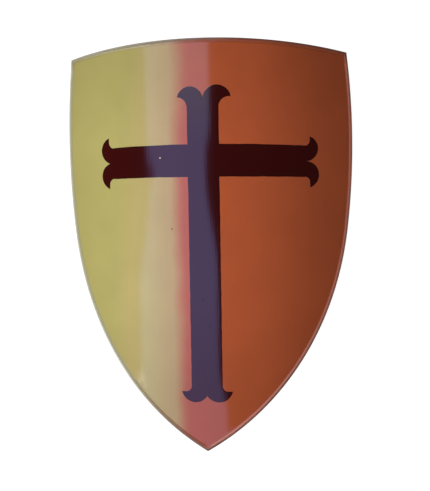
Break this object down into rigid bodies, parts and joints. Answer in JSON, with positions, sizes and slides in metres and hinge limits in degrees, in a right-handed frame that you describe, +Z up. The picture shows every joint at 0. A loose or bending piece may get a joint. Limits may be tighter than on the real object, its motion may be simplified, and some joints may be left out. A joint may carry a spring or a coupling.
{
  "type": "heater shield",
  "caption": "Curved sheet-steel heater shield with a rolled edge, painted with a cross with forked arm ends, and leather straps behind.",
  "frame": {"origin": "under the middle of the shield's box, on the surface that it lies on", "axes": "+Y towards the top edge and away from the point, +Z up, out of the painted face, +X to the right as one looks at the painted face with the point down"},
  "size_m": [0.5004, 0.709, 0.0821],
  "materials": {
    "enamelled_steel": "gloss",
    "strap_leather": "satin",
    "loop_steel": "satin"
  },
  "bodies": {
    "root": {"shield_shell": "enamelled_steel", "forearm_strap": "strap_leather", "hand_grip": "strap_leather", "strap_loop_1": "loop_steel", "strap_loop_2": "loop_steel", "strap_loop_3": "loop_steel", "strap_loop_4": "loop_steel"}
  },
  "joints": []
}
